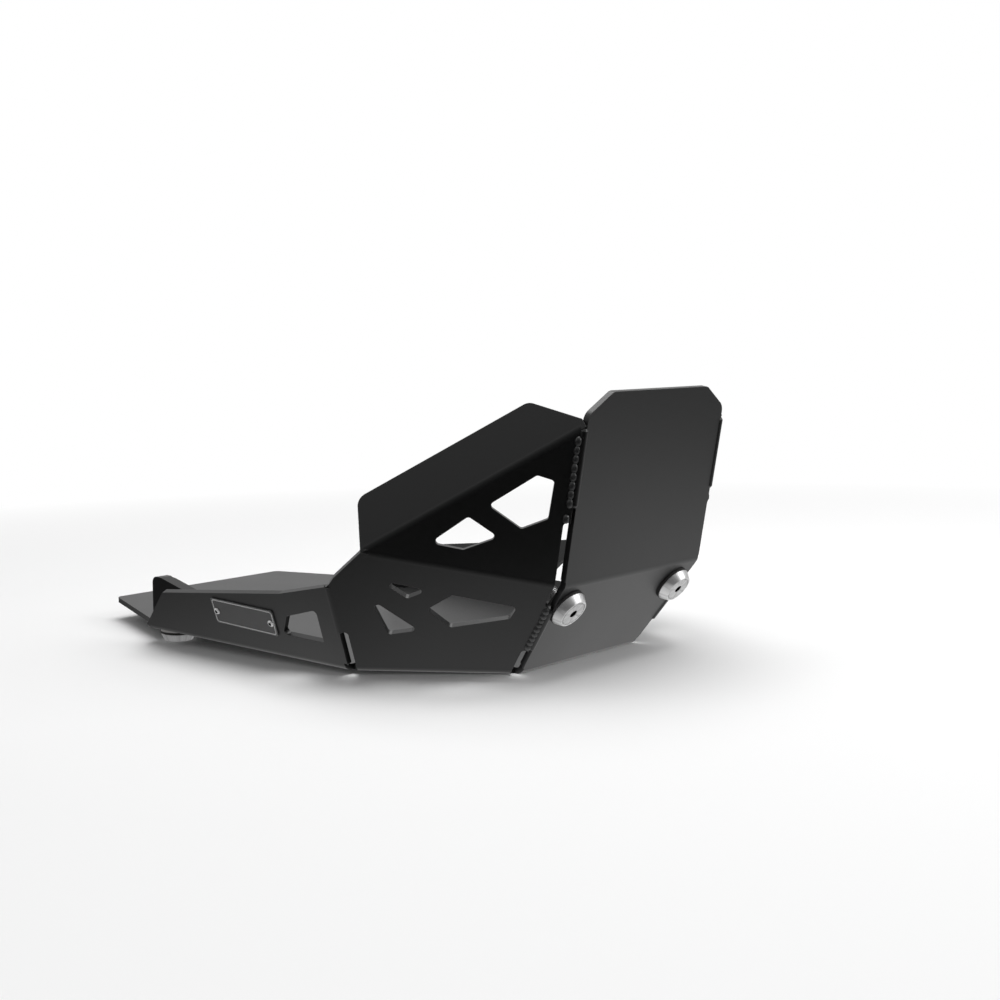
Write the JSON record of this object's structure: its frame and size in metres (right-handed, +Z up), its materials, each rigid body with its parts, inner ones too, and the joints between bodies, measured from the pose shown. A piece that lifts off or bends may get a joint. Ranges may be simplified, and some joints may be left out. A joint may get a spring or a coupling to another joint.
{
  "type": "motorcycle skid plate",
  "caption": "Bent sheet skid plate for a motorcycle: flat bottom, upright front, pierced side wings, flared sides and bolted fixings",
  "frame": {"origin": "on the flat underside of the bottom plate, midway between the rear screws", "axes": "+X forward towards the upright front panel, +Y to the left side, +Z up; the bottom plate lies in the XY plane"},
  "size_m": [0.4754, 0.3204, 0.1935],
  "materials": {
    "powder_coat": "satin black powder coat",
    "bracket_coat": "satin black paint on steel",
    "badge": "black anodised, bare",
    "rivet": "satin",
    "screw": "satin plated steel",
    "turned_steel": "turned, bright",
    "plated_steel": "zinc plated",
    "rubber": "matt black"
  },
  "bodies": {
    "root": {"skid_plate": "powder_coat", "badge_plate": "badge", "badge_rivet_front": "rivet", "badge_rivet_rear": "rivet", "front_screw_right": "screw", "front_screw_left": "screw", "front_cone_washer_right": "turned_steel", "front_cone_washer_left": "turned_steel", "front_grommet_right": "rubber", "front_grommet_left": "rubber", "front_sleeve_right": "plated_steel", "front_sleeve_left": "plated_steel", "rear_screw_right": "screw", "rear_screw_left": "screw", "rear_cone_washer_right": "turned_steel", "rear_cone_washer_left": "turned_steel", "rear_rubber_ring_right": "rubber", "rear_rubber_ring_left": "rubber", "rear_spacer_disc_right": "plated_steel", "rear_spacer_disc_left": "plated_steel", "rear_bracket_right": "bracket_coat", "rear_bracket_left": "bracket_coat", "rear_nut_right": "plated_steel", "rear_nut_left": "plated_steel"}
  },
  "joints": []
}
